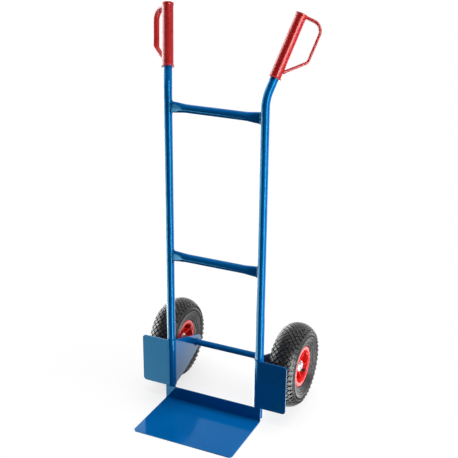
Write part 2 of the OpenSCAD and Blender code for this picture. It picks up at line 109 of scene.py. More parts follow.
def blend_colours(tree, share, first, second):
    """Goes from the first colour to the second, each a socket or (r, g, b)."""
    node = tree.nodes.new("ShaderNodeMix")
    node.data_type = "RGBA"
    feed(tree, node.inputs[0], share)
    for socket, value in ((node.inputs[6], first), (node.inputs[7], second)):
        feed(tree, socket, value if isinstance(value, bpy.types.NodeSocket) else (*value, 1.0))
    return node.outputs[2]


def surface_group():
    """Shader group that every finish here shares: slow changes of tone and
    gloss, fine specks of dust, a corner mask for lighter edges that carry a painted highlight, and a fine
    relief."""
    tree = bpy.data.node_groups.new("uneven_finish", "ShaderNodeTree")
    tree.interface.new_socket("Vector", in_out="INPUT", socket_type="NodeSocketVector")
    for label in ("Drift Scale", "Relief Scale", "Gloss Low", "Gloss High", "Dust"):
        tree.interface.new_socket(label, in_out="INPUT", socket_type="NodeSocketFloat")
    for label in ("Tone", "Roughness", "Dust Mask", "Edge", "Relief"):
        tree.interface.new_socket(label, in_out="OUTPUT", socket_type="NodeSocketFloat")
    inside = tree.nodes.new("NodeGroupInput").outputs
    drift = noise(tree, inside["Vector"], inside["Drift Scale"])
    smears = noise(tree, inside["Vector"], calc(tree, "MULTIPLY", inside["Drift Scale"], 6.0))
    gloss = calc(tree, "ADD", calc(tree, "MULTIPLY", drift, 0.5), calc(tree, "MULTIPLY", smears, 0.5))
    specks = noise(tree, inside["Vector"], 1400.0, 1.0)
    # Pointiness marks the corners, which the finishes lighten as a painted edge highlight.
    corners = tree.nodes.new("ShaderNodeNewGeometry").outputs["Pointiness"]
    add_node(tree, "NodeGroupOutput", Tone=spread(tree, drift, 0.3, 0.7),
             Roughness=spread(tree, gloss, 0.35, 0.65, inside["Gloss Low"], inside["Gloss High"]),
             Dust_Mask=calc(tree, "MULTIPLY", spread(tree, specks, 0.58, 0.74), inside["Dust"]),
             Edge=spread(tree, corners, 0.56, 0.66),
             Relief=noise(tree, inside["Vector"], inside["Relief Scale"], 2.0))
    return tree


uneven_finish = surface_group()


def finish(name, tones, dust, drift, relief, gloss, dusty, depth, edge=None, **settings):
    """A material on the shared group. Its colour drifts between two tones and goes
    towards an edge colour, a painted highlight, by a share on corners, under a
    share dusty of dust. drift and relief are scales, and the relief is depth deep."""
    material = bpy.data.materials.new(name)
    material.use_nodes = True
    tree = material.node_tree
    group = tree.nodes.new("ShaderNodeGroup")
    group.node_tree = uneven_finish
    place = tree.nodes.new("ShaderNodeTexCoord").outputs["Object"]
    out = wire(tree, group, Vector=place, Drift_Scale=drift, Relief_Scale=relief,
               Gloss_Low=gloss[0], Gloss_High=gloss[1], Dust=dusty).outputs
    colour = blend_colours(tree, out["Tone"], *tones)
    # Corners go towards the lighter edge colour: a painted edge highlight.
    if edge is not None:
        edge_highlight_colour, share = edge
        colour = blend_colours(tree, calc(tree, "MULTIPLY", out["Edge"], share), colour, edge_highlight_colour)
    bump = add_node(tree, "ShaderNodeBump", Height=out["Relief"], Strength=1.0, Distance=depth)
    wire(tree, tree.nodes["Principled BSDF"], Roughness=out["Roughness"], Normal=bump,
         Base_Color=blend_colours(tree, out["Dust Mask"], colour, dust), **settings)
    return material


def gloss_enamel():
    """Blue enamel: mirror gloss with a slight orange peel and a blue sheen,
    lighter on the edges, partly where the paint is thinner and partly as a painted highlight, and hardly
    any dust."""
    return finish("blue_enamel", ((0.0, 0.090, 0.30), (0.0004, 0.110, 0.35)), (0.3, 0.36, 0.42),
                  drift=7.0, relief=200.0, gloss=(0.07, 0.13), dusty=0.01, depth=0.00003,
                  # The lighter blue edge colour is partly thin paint and partly a painted highlight.
                  edge=((0.02, 0.19, 0.48), 0.5), Specular_IOR_Level=0.5,
                  Specular_Tint=(0.05, 0.6, 1.0, 1.0))


blue_enamel = gloss_enamel()


def add_piece(name, mesh, material=None, angle=35.0):
    """Puts a mesh in the scene at the origin, smooth but for its sharp edges."""
    if material is not None:
        mesh.materials.append(material)
    mesh.shade_smooth()
    mesh.set_sharp_from_angle(angle=math.radians(angle))
    piece = bpy.data.objects.new(name, mesh)
    bpy.context.scene.collection.objects.link(piece)
    return piece


def close_mesh(name, verts, faces):
    """A mesh with its doubles merged and every face pointing outwards."""
    work = bmesh.new()
    points = [work.verts.new(v) for v in verts]
    for face in faces:
        work.faces.new([points[i] for i in face])
    bmesh.ops.remove_doubles(work, verts=work.verts, dist=1e-6)
    bmesh.ops.recalc_face_normals(work, faces=work.faces)
    mesh = bpy.data.meshes.new(name)
    work.to_mesh(mesh)
    work.free()
    return mesh


def skin(name, rings, closed):
    """A surface over rings of points; an open row of rings is capped."""
    count = len(rings[0])
    verts = [point for ring in rings for point in ring]
    faces = []
    for k in range(len(rings) if closed else len(rings) - 1):
        a, b = k * count, (k + 1) % len(rings) * count
        faces += [(a + i, a + (i + 1) % count, b + (i + 1) % count, b + i) for i in range(count)]
    if not closed:
        faces += [tuple(range(count)), tuple(range(len(verts) - count, len(verts)))]
    return close_mesh(name, verts, faces)


def place_piece(piece, body, material_slot, *nodes):
    """Tells the frame what the piece rides on and replaces. material_slot is not used."""
    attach(piece, body)
    if nodes:
        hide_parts(*nodes)
    return piece


def stile_axis(s):
    """Point and direction of the tube's axis at length s from its foot, in
    the plane of its bend: (back, up)."""
    straight = bend_start - foot_z
    if s <= straight:
        return Vector((0, foot_z + s)), Vector((0, 1))
    turn = min((s - straight) / bend_r, handle_tilt)
    past = s - straight - bend_r * turn
    along = Vector((math.sin(turn), math.cos(turn)))
    bend = Vector((bend_r * (1 - math.cos(turn)), bend_start + bend_r * math.sin(turn)))
    return bend + past * along, along


def stile_ring(side, s, r, count=72):
    (back, up), (out, rise) = stile_axis(s)
    points = []
    for i in range(count):
        a = 2 * math.pi * i / count
        across, lean = r * math.cos(a), r * math.sin(a)
        y, z = back + lean * rise, up - lean * out
        points.append(Vector((side * (stile_x + across * math.cos(handle_turn) + y * math.sin(handle_turn)),
                              stile_y - across * math.sin(handle_turn) + y * math.cos(handle_turn), z)))
    return points


def stile(side, label):
    bend_len = bend_r * handle_tilt
    straight = bend_start - foot_z
    length = straight + bend_len + grip_top - bend_r * math.tan(handle_tilt / 2)
    stops = [tube_edge + (straight - tube_edge) * i / 12 for i in range(12)]
    stops += [straight + bend_len * i / 30 for i in range(31)] + [length - 0.1, length - tube_edge]
    outer = [(0, tube_r - tube_edge)] + [(s, tube_r) for s in stops] + [(length, tube_r - tube_edge)]
    inner_r = tube_r - tube_wall
    inner = [(length, inner_r + tube_edge)] + [(s, inner_r) for s in reversed(stops)]
    rings = [stile_ring(side, s, r) for s, r in outer + inner + [(0, inner_r + tube_edge)]]
    piece = add_piece(label + "_upright", skin(label + "_upright", rings, closed=True), blue_enamel)
    return place_piece(piece, "frame", "frame_paint", label + "_stile")


for side, label in SIDES:
    stile(side, label)

# ---- Crossbars ------------------------------------------------------------
# Two tubes join the uprights. Both ends of each are pressed flat in a die, so
# they stand taller than the tube, and are coped to sit against the uprights.
# A ripple of weld runs round each end, under the enamel.
bar_r = 0.0125
bar_wall = 0.0015
pressed_t = 0.0125
press_len = 0.050
bar_heights = {label: sum(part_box(label + "_crossbar"), Vector()).z / 2 for label in ("upper", "lower")}


def pressed_ring(side, f, z, inset, count=64):
    """Ring of the bar: f is 0 where the press starts and 1 at the coped end.
    A pressed tube keeps its girth, which gives its height."""
    share = f * f * (3 - 2 * f)
    t = 2 * bar_r + (pressed_t - 2 * bar_r) * share
    h = (math.pi * 2 * bar_r - (math.pi - 2) * t) / 2
    ring = []
    for i in range(count):
        a = 2 * math.pi * (i + 0.5) / count
        y = (t / 2 - inset) * math.cos(a)
        up = math.copysign((h - t) / 2, math.sin(a)) + (t / 2 - inset) * math.sin(a)
        cope = stile_x - math.sqrt(tube_r ** 2 - y ** 2)
        ring.append(Vector((side * (cope - press_len * (1 - f)), stile_y + y, z + up)))
    return ring


def crossbar(label, z):
    steps = 14
    stations = [(LEFT, 1 - i / steps) for i in range(steps + 1)]
    stations += [(RIGHT, i / steps) for i in range(steps + 1)]
    rings = [pressed_ring(side, f, z, 0) for side, f in stations]
    rings += [pressed_ring(side, f, z, bar_wall) for side, f in reversed(stations)]
    name = label + "_crossbar_tube"
    piece = add_piece(name, skin(name, rings, closed=True), blue_enamel)
    return place_piece(piece, "frame", "frame_paint", label + "_crossbar")


for label, z in bar_heights.items():
    crossbar(label, z)

# ---- Toe plate ------------------------------------------------------------
# One sheet of 3 mm steel, cut with two round front corners and folded up at
# the back. Its upstand is welded across the feet of the uprights.
sheet_t = 0.003
toe_low, toe_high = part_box("toe_plate")
toe_corner = 0.010
toe_fold = 0.004 + sheet_t / 2
sheet_edge = 0.0006


def settle(piece):
    """Applies a piece's modifiers, so that it's a plain mesh."""
    graph = bpy.context.evaluated_depsgraph_get()
    mesh = bpy.data.meshes.new_from_object(piece.evaluated_get(graph))
    piece.modifiers.clear()
    piece.data = mesh
    return piece


def thicken(piece):
    """Gives a sheet's middle surface its thickness and softened cut edges."""
    solid = piece.modifiers.new("thickness", "SOLIDIFY")
    solid.thickness = sheet_t
    solid.offset = 0
    edge = piece.modifiers.new("edge", "BEVEL")
    edge.width = sheet_edge
    edge.segments = 3
    edge.limit_method = "ANGLE"
    edge.angle_limit = math.radians(50)
    weigh = piece.modifiers.new("flats", "WEIGHTED_NORMAL")
    weigh.weight = 100
    return settle(piece)


def sheet_grid(name, columns):
    """Middle surface of a sheet, from columns with the same number of points."""
    rows = len(columns[0])
    verts = [point for column in columns for point in column]
    faces = [(c * rows + r, (c + 1) * rows + r, (c + 1) * rows + r + 1, c * rows + r + 1)
             for c in range(len(columns) - 1) for r in range(rows - 1)]
    return close_mesh(name, verts, faces)


def corner_stops(half, corner, inner, steps=10):
    """Places across a sheet of half width half: even ones, then round a corner."""
    places = [(half - corner) * i / inner for i in range(inner + 1)]
    return places + [half - corner + corner * math.sin(math.pi / 2 * i / steps)
                     for i in range(1, steps + 1)]


def toe_plate():
    half = (toe_high.x - toe_low.x) / 2
    face_y = toe_high.y - sheet_t / 2
    base_z = sheet_t / 2
    stops = corner_stops(half, toe_corner, 8)
    columns = []
    for x in [-s for s in reversed(stops[1:])] + stops:
        past = max(0.0, abs(x) - (half - toe_corner))
        cut = toe_corner - math.sqrt(max(0.0, toe_corner ** 2 - past ** 2))
        front = toe_low.y + cut
        column = [Vector((x, face_y, z)) for z in (toe_high.z, base_z + toe_fold + 0.018)]
        for i in range(13):
            a = math.pi / 2 * i / 12
            column.append(Vector((x, face_y - toe_fold * (1 - math.cos(a)),
                                  base_z + toe_fold * (1 - math.sin(a)))))
        back = column[-1].y
        column += [Vector((x, back + (front - back) * i / 8, base_z)) for i in range(1, 9)]
        columns.append(column)
    piece = thicken(add_piece("toe_plate_sheet", sheet_grid("toe_plate_sheet", columns), blue_enamel))
    return place_piece(piece, "frame", "frame_paint", "toe_plate")


toe_plate()

# ---- Wheel guards ---------------------------------------------------------
# One sheet a side, folded round the front of the upright. Its front plate
# keeps the load off the tyre, and its side plate narrows to a round nose that
# carries the axle.
guard_corner = 0.010
side_step = 0.006
side_sag = 0.007
nose_r = 0.022
nose_back, nose_drop = 0.011, 0.002
axle_low, axle_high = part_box("axle")
axle_y, axle_z = (axle_low.y + axle_high.y) / 2, (axle_low.z + axle_high.z) / 2


def touch(p, up):
    """Where the line from p touches the nose, on its upper or lower side."""
    nose = Vector((axle_y + nose_back, axle_z - nose_drop))
    way = nose - p
    a = math.atan2(way.y, way.x) + up * math.asin(nose_r / way.length)
    return p + math.sqrt(way.length_squared - nose_r ** 2) * Vector((math.cos(a), math.sin(a)))


def side_heights(y, foot, head):
    """Lower and upper edge of the side plate at y."""
    nose_y, nose_z = axle_y + nose_back, axle_z - nose_drop
    low_end, high_end = touch(foot, -1), touch(head, 1)
    bow = math.sqrt(max(0.0, nose_r ** 2 - (y - nose_y) ** 2))
    f = (y - foot.x) / (low_end.x - foot.x)
    if f < 1:
        sag = 4 * side_sag * f * (1 - f) * (1 - f / 2)
        low = foot.y + f * (low_end.y - foot.y) - sag - side_step * max(0.0, 1 - f * 40)
    else:
        low = nose_z - bow
    g = (y - head.x) / (high_end.x - head.x)
    high = head.y + g * (high_end.y - head.y) if g < 1 else nose_z + bow
    return low, high


def wheel_guard(side, label):
    low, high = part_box(label + "_wheel_guard")
    reach = max(abs(low.x), abs(high.x)) - stile_x
    bottom, top, mid_r, rows = low.z, high.z, tube_r + sheet_t / 2, 10
    spans = []
    for s in reversed(corner_stops(reach, guard_corner, 6)):
        past = max(0.0, s - (reach - guard_corner))
        cut = guard_corner - math.sqrt(max(0.0, guard_corner ** 2 - past ** 2))
        spans.append((stile_x + s, stile_y - mid_r, bottom + cut, top - cut))
    for i in range(1, 13):
        a = math.pi / 2 * i / 12
        spans.append((stile_x - mid_r * math.sin(a), stile_y - mid_r * math.cos(a), bottom, top))
    foot, head = Vector((stile_y, bottom + side_step)), Vector((stile_y, top))
    tip = axle_y + nose_back + nose_r
    places = [stile_y + (tip - stile_y) * math.sin(math.pi / 2 * i / 44) for i in range(1, 45)]
    for y in [stile_y + 0.0015, stile_y + 0.003] + places:
        spans.append((stile_x - mid_r, y, *side_heights(y, foot, head)))
    columns = [[Vector((side * x, y, z0 + (z1 - z0) * i / rows)) for i in range(rows + 1)]
               for x, y, z0, z1 in spans]
    name = label + "_guard_sheet"
    piece = thicken(add_piece(name, sheet_grid(name, columns), blue_enamel))
    return place_piece(piece, "frame", "frame_paint", label + "_wheel_guard")


for side, label in SIDES:
    wheel_guard(side, label)

# ---- Welds ----------------------------------------------------------------
# Beads laid by hand, each a row of overlapping ripples: round the crossbars'
# ends, along the uprights against the sheet, and round the axle. They are
# enamelled with the rest.


def tree_of(name, *inputs):
    """An empty Geometry Nodes tree: its Geometry input comes first."""
    tree = bpy.data.node_groups.new(name, "GeometryNodeTree")
    for label, kind in (("Geometry", "Geometry"),) + inputs:
        tree.interface.new_socket(label, in_out="INPUT", socket_type="NodeSocket" + kind)
    tree.interface.new_socket("Geometry", in_out="OUTPUT", socket_type="NodeSocketGeometry")
    return tree, tree.nodes.new("NodeGroupInput").outputs


def close_tree(tree, instances, material, centre=None):
    """Ends a tree: the instances made real, moved to their centre, and painted."""
    real = add_node(tree, "GeometryNodeRealizeInstances", Geometry=instances)
    if centre is not None:
        real = add_node(tree, "GeometryNodeTransform", Geometry=real, Translation=centre)
    painted = add_node(tree, "GeometryNodeSetMaterial", Geometry=real, Material=material)
    add_node(tree, "NodeGroupOutput", Geometry=painted)
    return tree


def grow(tree, name, seed, angle=35.0, **values):
    """Runs a tree on a mesh with its named inputs set, and keeps the result."""
    piece = bpy.data.objects.new(name, seed)
    bpy.context.scene.collection.objects.link(piece)
    modifier = piece.modifiers.new(name, "NODES")
    modifier.node_group = tree
    sockets = {item.name: item.identifier for item in tree.interface.items_tree
               if item.in_out == "INPUT"}
    for label, value in values.items():
        modifier[sockets[label.replace("_", " ")]] = value
    settle(piece)
    piece.data.shade_smooth()
    piece.data.set_sharp_from_angle(angle=math.radians(angle))
    return piece


def bead_tree():
    """Ripples along each line of the seed mesh, of uneven size."""
    tree, given = tree_of("weld_bead", ("Bead Radius", "Float"), ("Ripple Pitch", "Float"),
                          ("Seed", "Int"), ("Material", "Material"))
    stops = tree.nodes.new("GeometryNodeResampleCurve")
    stops.mode = "LENGTH"
    wire(tree, stops, Curve=add_node(tree, "GeometryNodeMeshToCurve", Mesh=given["Geometry"]),
         Length=given["Ripple Pitch"])
    ball = add_node(tree, "GeometryNodeMeshUVSphere", Segments=10, Rings=6, Radius=given["Bead Radius"])
    along = tree.nodes.new("FunctionNodeAlignRotationToVector")
    along.axis = "X"
    wire(tree, along, Vector=tree.nodes.new("GeometryNodeInputTangent"))
    size = tree.nodes.new("FunctionNodeRandomValue")
    size.data_type = "FLOAT"
    wire(tree, size, Seed=given["Seed"])
    low, high = [s for s in size.inputs if s.name in ("Min", "Max") and s.type == "VALUE"]
    low.default_value, high.default_value = 0.86, 1.1
    width = [s for s in size.outputs if s.type == "VALUE"][0]
    shape = add_node(tree, "ShaderNodeCombineXYZ", X=0.8, Y=width, Z=width)
    beads = add_node(tree, "GeometryNodeInstanceOnPoints", Points=stops, Instance=ball,
                     Rotation=along, Scale=shape)
    return close_tree(tree, beads, given["Material"])


def line_mesh(name, lines):
    """A mesh of open lines of points, or closed ones whose ends meet."""
    verts, edges = [], []
    for line in lines:
        edges += [(len(verts) + i, len(verts) + i + 1) for i in range(len(line) - 1)]
        verts += line
    mesh = bpy.data.meshes.new(name)
    mesh.from_pydata(verts, edges, [])
    return mesh


weld_bead = bead_tree()
bar_lines = []
for side, label in SIDES:
    for z in bar_heights.values():
        ring = [p - Vector((side * 0.0005, 0, 0)) for p in pressed_ring(side, 1, z, -0.0006)]
        bar_lines.append(ring + ring[:1])
place_piece(grow(weld_bead, "crossbar_welds", line_mesh("crossbar_welds", bar_lines), Bead_Radius=0.0019,
                 Ripple_Pitch=0.0017, Seed=3, Material=blue_enamel), "frame", "frame_paint")

seam_off, seam_in = 0.0065, tube_r - 0.0011
stitch_len, foot_len = 0.03, 0.034
axle_weld_r = 0.0107
guard_low, guard_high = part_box("right_wheel_guard")


def upright_line(side, x, y, z, length):
    """A straight run of weld up the tube, x and y from its middle."""
    return [Vector((side * (stile_x + x), stile_y + y, z + length * i / 6)) for i in range(7)]


sheet_lines = []
for side, label in SIDES:
    for z in (guard_low.z + 0.012, guard_high.z - 0.036):
        for x, y in ((-seam_in, seam_off), (seam_off, -seam_in)):
            sheet_lines.append(upright_line(side, x, y, z, stitch_len))
    for x in (-seam_off, seam_off):
        sheet_lines.append(upright_line(side, x, -seam_in, foot_z + 0.002, foot_len))
    plate_in = stile_x - tube_r - sheet_t
    sheet_lines.append([Vector((side * (plate_in - 0.0004),
                                axle_y + axle_weld_r * math.sin(math.pi * i / 24),
                                axle_z + axle_weld_r * math.cos(math.pi * i / 24))) for i in range(49)])
place_piece(grow(weld_bead, "sheet_welds", line_mesh("sheet_welds", sheet_lines), Bead_Radius=0.0024,
                 Ripple_Pitch=0.002, Seed=8, Material=blue_enamel), "frame", "frame_paint")

# ---- Axle and its hardware -------------------------------------------------
# One 20 mm bar through both side plates. A spacer, a washer, the wheel and a
# second washer slide on each end, held by a domed push-on cap with spring
# tabs. All but the bar are zinc plated.
arc_steps = 4
washer_bore, washer_soft = 0.01025, 0.0004


def eased(outline):
    """Points (out, radius) from corners (out, radius, ease), where ease is how
    far from the corner its rounding starts."""
    points = []
    for i, (a, r, ease) in enumerate(outline):
        corner = Vector((a, r))
        if not ease:
            points.append(corner)
            continue
        before = (Vector(outline[i - 1][:2]) - corner).normalized() * ease
        after = (Vector(outline[(i + 1) % len(outline)][:2]) - corner).normalized() * ease
        for k in range(arc_steps + 1):
            t = k / arc_steps
            points.append(corner + (1 - t) ** 2 * before + t ** 2 * after)
    return points


def lathe(name, side, outline, centre=None, count=72, material=None):
    """Turns an outline about the axle, or about a line through centre."""
    x0, y0, z0 = centre or (0, axle_y, axle_z)
    rings = [[Vector((side * (x0 + a), y0 + r * math.sin(2 * math.pi * i / count),
                      z0 + r * math.cos(2 * math.pi * i / count))) for i in range(count)]
             for a, r in eased(outline)]
    return add_piece(name, skin(name, rings, closed=True), material)


def zinc_plate():
    """Bright zinc: a pale metal with cloudy passivation."""
    return finish("zinc_plate", ((0.62, 0.64, 0.68), (0.80, 0.81, 0.83)), (0.5, 0.49, 0.47),
                  drift=60.0, relief=900.0, gloss=(0.22, 0.42), dusty=0.12, depth=0.00004, Metallic=0.9)


def bare_steel():
    """Ground steel, with a very fine grain."""
    return finish("ground_steel", ((0.42, 0.42, 0.44), (0.60, 0.60, 0.61)), (0.2, 0.19, 0.17),
                  drift=80.0, relief=2200.0, gloss=(0.2, 0.34), dusty=0.1, depth=0.00003, Metallic=1.0)


zinc, steel = zinc_plate(), bare_steel()


def around_tree():
    """Copies of the seed mesh turned about the X axis, in an even ring."""
    tree, given = tree_of("ring_of_copies", ("Copies", "Int"), ("First Angle", "Float"),
                          ("Step Angle", "Float"), ("Centre", "Vector"), ("Material", "Material"))
    steps = calc(tree, "MULTIPLY", tree.nodes.new("GeometryNodeInputIndex"), given["Step Angle"])
    euler = add_node(tree, "ShaderNodeCombineXYZ", X=calc(tree, "ADD", steps, given["First Angle"]))
    copies = add_node(tree, "GeometryNodeInstanceOnPoints", Instance=given["Geometry"],
                      Points=add_node(tree, "GeometryNodePoints", Count=given["Copies"]),
                      Rotation=add_node(tree, "FunctionNodeEulerToRotation", Euler=euler))
    return close_tree(tree, copies, given["Material"], given["Centre"])


ring_of_copies = around_tree()


def join(name, *pieces):
    """Makes one plain mesh of several pieces, each with its own material."""
    whole = pieces[0]
    for piece in pieces[1:]:
        slots = {}
        for i, material in enumerate(piece.data.materials):
            if material not in list(whole.data.materials):
                whole.data.materials.append(material)
            slots[i] = list(whole.data.materials).index(material)
        work = bmesh.new()
        work.from_mesh(whole.data)
        first = len(work.faces)
        work.from_mesh(piece.data)
        work.faces.ensure_lookup_table()
        for face in work.faces[first:]:
            face.material_index = slots.get(face.material_index, 0)
        work.to_mesh(whole.data)
        work.free()
        bpy.data.objects.remove(piece)
    whole.name = name
    whole.data.name = name
    return whole


def prism(name, outline, low, high, soft):
    """A slab from low to high along Y over an outline of (x, z) points, with
    soft edges."""
    work = bmesh.new()
    count = len(outline)
    bottom = [work.verts.new((x, low, z)) for x, z in outline]
    top = [work.verts.new((x, high, z)) for x, z in outline]
    work.faces.new(bottom)
    work.faces.new(top)
    for i in range(count):
        work.faces.new((bottom[i], bottom[(i + 1) % count], top[(i + 1) % count], top[i]))
    bmesh.ops.recalc_face_normals(work, faces=work.faces)
    bmesh.ops.bevel(work, geom=work.edges[:], offset=soft, segments=2, profile=0.5,
                    affect="EDGES", clamp_overlap=True)
    mesh = bpy.data.meshes.new(name)
    work.to_mesh(mesh)
    work.free()
    return mesh


def handed(mesh, side):
    """Mirrors a mesh that was made for the right side when it's for the left."""
    if side == LEFT:
        mesh.transform(Matrix.Diagonal((-1, 1, 1, 1)))
        mesh.flip_normals()
    return mesh


def washer(side, name, node):
    low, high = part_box(node)
    inner, outer = sorted((abs(low.x), abs(high.x)))
    radius = (high.z - low.z) / 2
    piece = lathe(name, side, [(a, r, washer_soft) for a, r in (
        (inner, washer_bore), (inner, radius), (outer, radius), (outer, washer_bore))], material=zinc)
    return place_piece(piece, "frame", "zinc_plate", node)


def axle_cap(side, label):
    low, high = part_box(label + "_axle_cap")
    inner, tip = sorted((abs(low.x), abs(high.x)))
    brim, dome, leaf = (high.z - low.z) / 2, 0.0122, 0.0012
    outline = [(inner, 0.0100, 0.0002), (inner, brim - 0.0002, 0.0006), (inner + 0.0016, brim, 0.0006),
               (inner + 0.0026, brim - 0.0016, 0.0006), (inner + 0.0018, dome + 0.0016, 0.0010),
               (tip - 0.0016, dome, 0.0014), (tip - 0.0002, dome * 0.55, 0.0020), (tip, 0, 0),
               (tip - leaf, 0, 0), (tip - leaf - 0.0008, dome - leaf - 0.001, 0.0008),
               (inner + leaf, dome - leaf, 0.0004), (inner + leaf, 0.0100, 0.0002)]
    cap = lathe(label + "_cap", side, outline, material=zinc)
    tab = prism("tab", [(inner + 0.0018, -0.0012), (inner + 0.0030, -0.0012),
                        (inner + 0.0030, 0.0012), (inner + 0.0018, 0.0012)],
                dome + 0.0012, brim - 0.0022, 0.0003)
    tabs = grow(ring_of_copies, "tabs", tab, Copies=8, First_Angle=0.2, Step_Angle=math.pi / 4,
                Centre=(0.0, axle_y, axle_z), Material=zinc)
    handed(tabs.data, side)
    piece = join(label + "_push_on_cap", cap, tabs)
    return place_piece(piece, "frame", "zinc_plate", label + "_axle_cap")


for side, label in SIDES:
    for name, node in (("_spacer_tube", "_axle_spacer"), ("_washer_inside", "_inner_washer"),
                       ("_washer_outside", "_outer_washer")):
        washer(side, label + name, label + node)
    axle_cap(side, label)

axle_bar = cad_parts["axle"]
for held in axle_bar.material_slots:
    held.material = blue_enamel

# ---- Tyres -----------------------------------------------------------------
# Black rubber, 260 mm by 86 mm. The crown carries diamond blocks in staggered
# rows, cut by grooves that run both ways across it, and a row of small lugs
# on each shoulder. The side wall has stepped rings down to the bead.
tyre_low, tyre_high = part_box("right_tyre")
tyre_r = (tyre_high.z - tyre_low.z) / 2
wheel_x = (tyre_high.x + tyre_low.x) / 2
crown_r = 0.054
block_h = 0.0048
block_rows, block_columns = 45, 9
groove = 0.0024
tread_edge = 50


def tyre_rubber(name, black, grey, gloss):
    """Black rubber with a fine moulded grain and a trace of dust."""
    return finish(name, (black, grey), (0.2, 0.19, 0.17), drift=24.0, relief=700.0, gloss=gloss,
                  dusty=0.12, depth=0.00015, Specular_IOR_Level=0.5)


rubber = tyre_rubber("tyre_rubber", (0.014, 0.014, 0.015), (0.024, 0.024, 0.025), (0.32, 0.46))
tread_rubber = tyre_rubber("tread_rubber", (0.018, 0.018, 0.019), (0.032, 0.032, 0.033),
                           (0.30, 0.42))


def tread_tree():
    """Blocks laid out flat, X across the tyre, Y round it and Z up from the
    groove floor, then wrapped over the crown. The seed mesh isn't used."""
    tree, given = tree_of(
        "diamond_tread", ("Rows", "Int"), ("Columns", "Int"), ("Column Pitch", "Float"),
        ("Half Across", "Float"), ("Half Round", "Float"), ("Block Height", "Float"),
        ("Tyre Radius", "Float"), ("Crown Radius", "Float"), ("Stagger", "Float"),
        ("Centre", "Vector"), ("Material", "Material"))
    new, maths = partial(add_node, tree), partial(calc, tree)
    flat = new("GeometryNodeMeshCircle", Vertices=4, Radius=1.0)
    flat.fill_type = "NGON"
    body, top = flat, True
    for height, shrink in ((0.84, 0.97), (0.16, 0.93)):
        grown = new("GeometryNodeExtrudeMesh", Mesh=body, Selection=top,
                    Offset_Scale=maths("MULTIPLY", given["Block Height"], height))
        top = grown.outputs["Top"]
        body = new("GeometryNodeScaleElements", Geometry=grown, Selection=top, Scale=shrink)
    closed = new("GeometryNodeJoinGeometry")
    for part in (body, new("GeometryNodeFlipFaces", Mesh=flat)):
        feed(tree, closed.inputs[0], part)
    merged = new("GeometryNodeMergeByDistance", Geometry=closed, Distance=1e-5)
    fine = new("GeometryNodeSubdivideMesh", Mesh=merged, Level=1)
    size = new("ShaderNodeCombineXYZ", X=given["Half Across"], Y=given["Half Round"], Z=1.0)
    block = new("GeometryNodeTransform", Geometry=fine, Scale=size)

    index = new("GeometryNodeInputIndex")
    row = maths("FLOOR", maths("DIVIDE", index, given["Columns"]))
    column = maths("SUBTRACT", index, maths("MULTIPLY", row, given["Columns"]))
    middle = maths("DIVIDE", maths("SUBTRACT", given["Columns"], 1.0), 2.0)
    across = maths("MULTIPLY", maths("SUBTRACT", column, middle), given["Column Pitch"])
    odd = maths("MULTIPLY", maths("MODULO", column, 2.0), 0.5)
    steps = maths("ADD", maths("ADD", row, odd), given["Stagger"])
    pitch = maths("DIVIDE", maths("MULTIPLY", given["Tyre Radius"], 2 * math.pi), given["Rows"])
    spots = new("GeometryNodePoints", Count=maths("MULTIPLY", given["Rows"], given["Columns"]),
                Position=new("ShaderNodeCombineXYZ", X=across, Y=maths("MULTIPLY", steps, pitch)))
    laid = new("GeometryNodeInstanceOnPoints", Points=spots, Instance=block)
    real = new("GeometryNodeRealizeInstances", Geometry=laid)

    at = new("ShaderNodeSeparateXYZ", Vector=new("GeometryNodeInputPosition")).outputs
    reach = maths("ADD", maths("SUBTRACT", given["Crown Radius"], given["Block Height"]), at["Z"])
    lean = maths("DIVIDE", at["X"], given["Crown Radius"])
    turn = maths("DIVIDE", at["Y"], given["Tyre Radius"])
    hoop = maths("SUBTRACT", given["Tyre Radius"], given["Crown Radius"])
    radial = maths("ADD", hoop, maths("MULTIPLY", reach, maths("COSINE", lean)))
    wrapped = new("ShaderNodeCombineXYZ", X=maths("MULTIPLY", reach, maths("SINE", lean)),
                  Y=maths("MULTIPLY", radial, maths("SINE", turn)),
                  Z=maths("MULTIPLY", radial, maths("COSINE", turn)))
    bent = new("GeometryNodeSetPosition", Geometry=real, Position=wrapped)
    return close_tree(tree, bent, given["Material"], given["Centre"])


diamond_tread = tread_tree()


def tyre_wall_outline():
    """Corners of one side of the carcass, (out, radius, ease), from the tread's
    edge down the side wall to the bead on the rim."""
    return [(*crown_point(tread_edge), 0.0),
            (0.0402, 0.1045, 0.002), (0.0404, 0.1022, 0.0006), (0.0420, 0.1016, 0.0006),
            (0.0428, 0.0975, 0.003), (0.0419, 0.0900, 0.003), (0.0405, 0.0856, 0.0010),
            (0.0392, 0.0850, 0.0005), (0.0386, 0.0836, 0.0005), (0.0391, 0.0824, 0.0005),
            (0.0383, 0.0790, 0.0010), (0.0367, 0.0784, 0.0005), (0.0362, 0.0770, 0.0005),
            (0.0370, 0.0760, 0.0005), (0.0358, 0.0716, 0.0010), (0.0342, 0.0710, 0.0005),
            (0.0336, 0.0696, 0.0005), (0.0344, 0.0686, 0.0005), (0.0336, 0.0650, 0.0010),
            (0.0318, 0.0631, 0.0006), (0.0285, 0.0631, 0.001)]


def crown_point(degrees):
    """Point (out, radius) of the groove floor, by its angle off the crown."""
    floor_r, a = crown_r - block_h, math.radians(degrees)
    return floor_r * math.sin(a), tyre_r - crown_r + floor_r * math.cos(a)


def mirrored(outline):
    """The other half of an outline that runs from one side to the middle."""
    return [(-a, r, ease) for a, r, ease in reversed(outline)]


def wheel_centre(side):
    return side * wheel_x, axle_y, axle_z


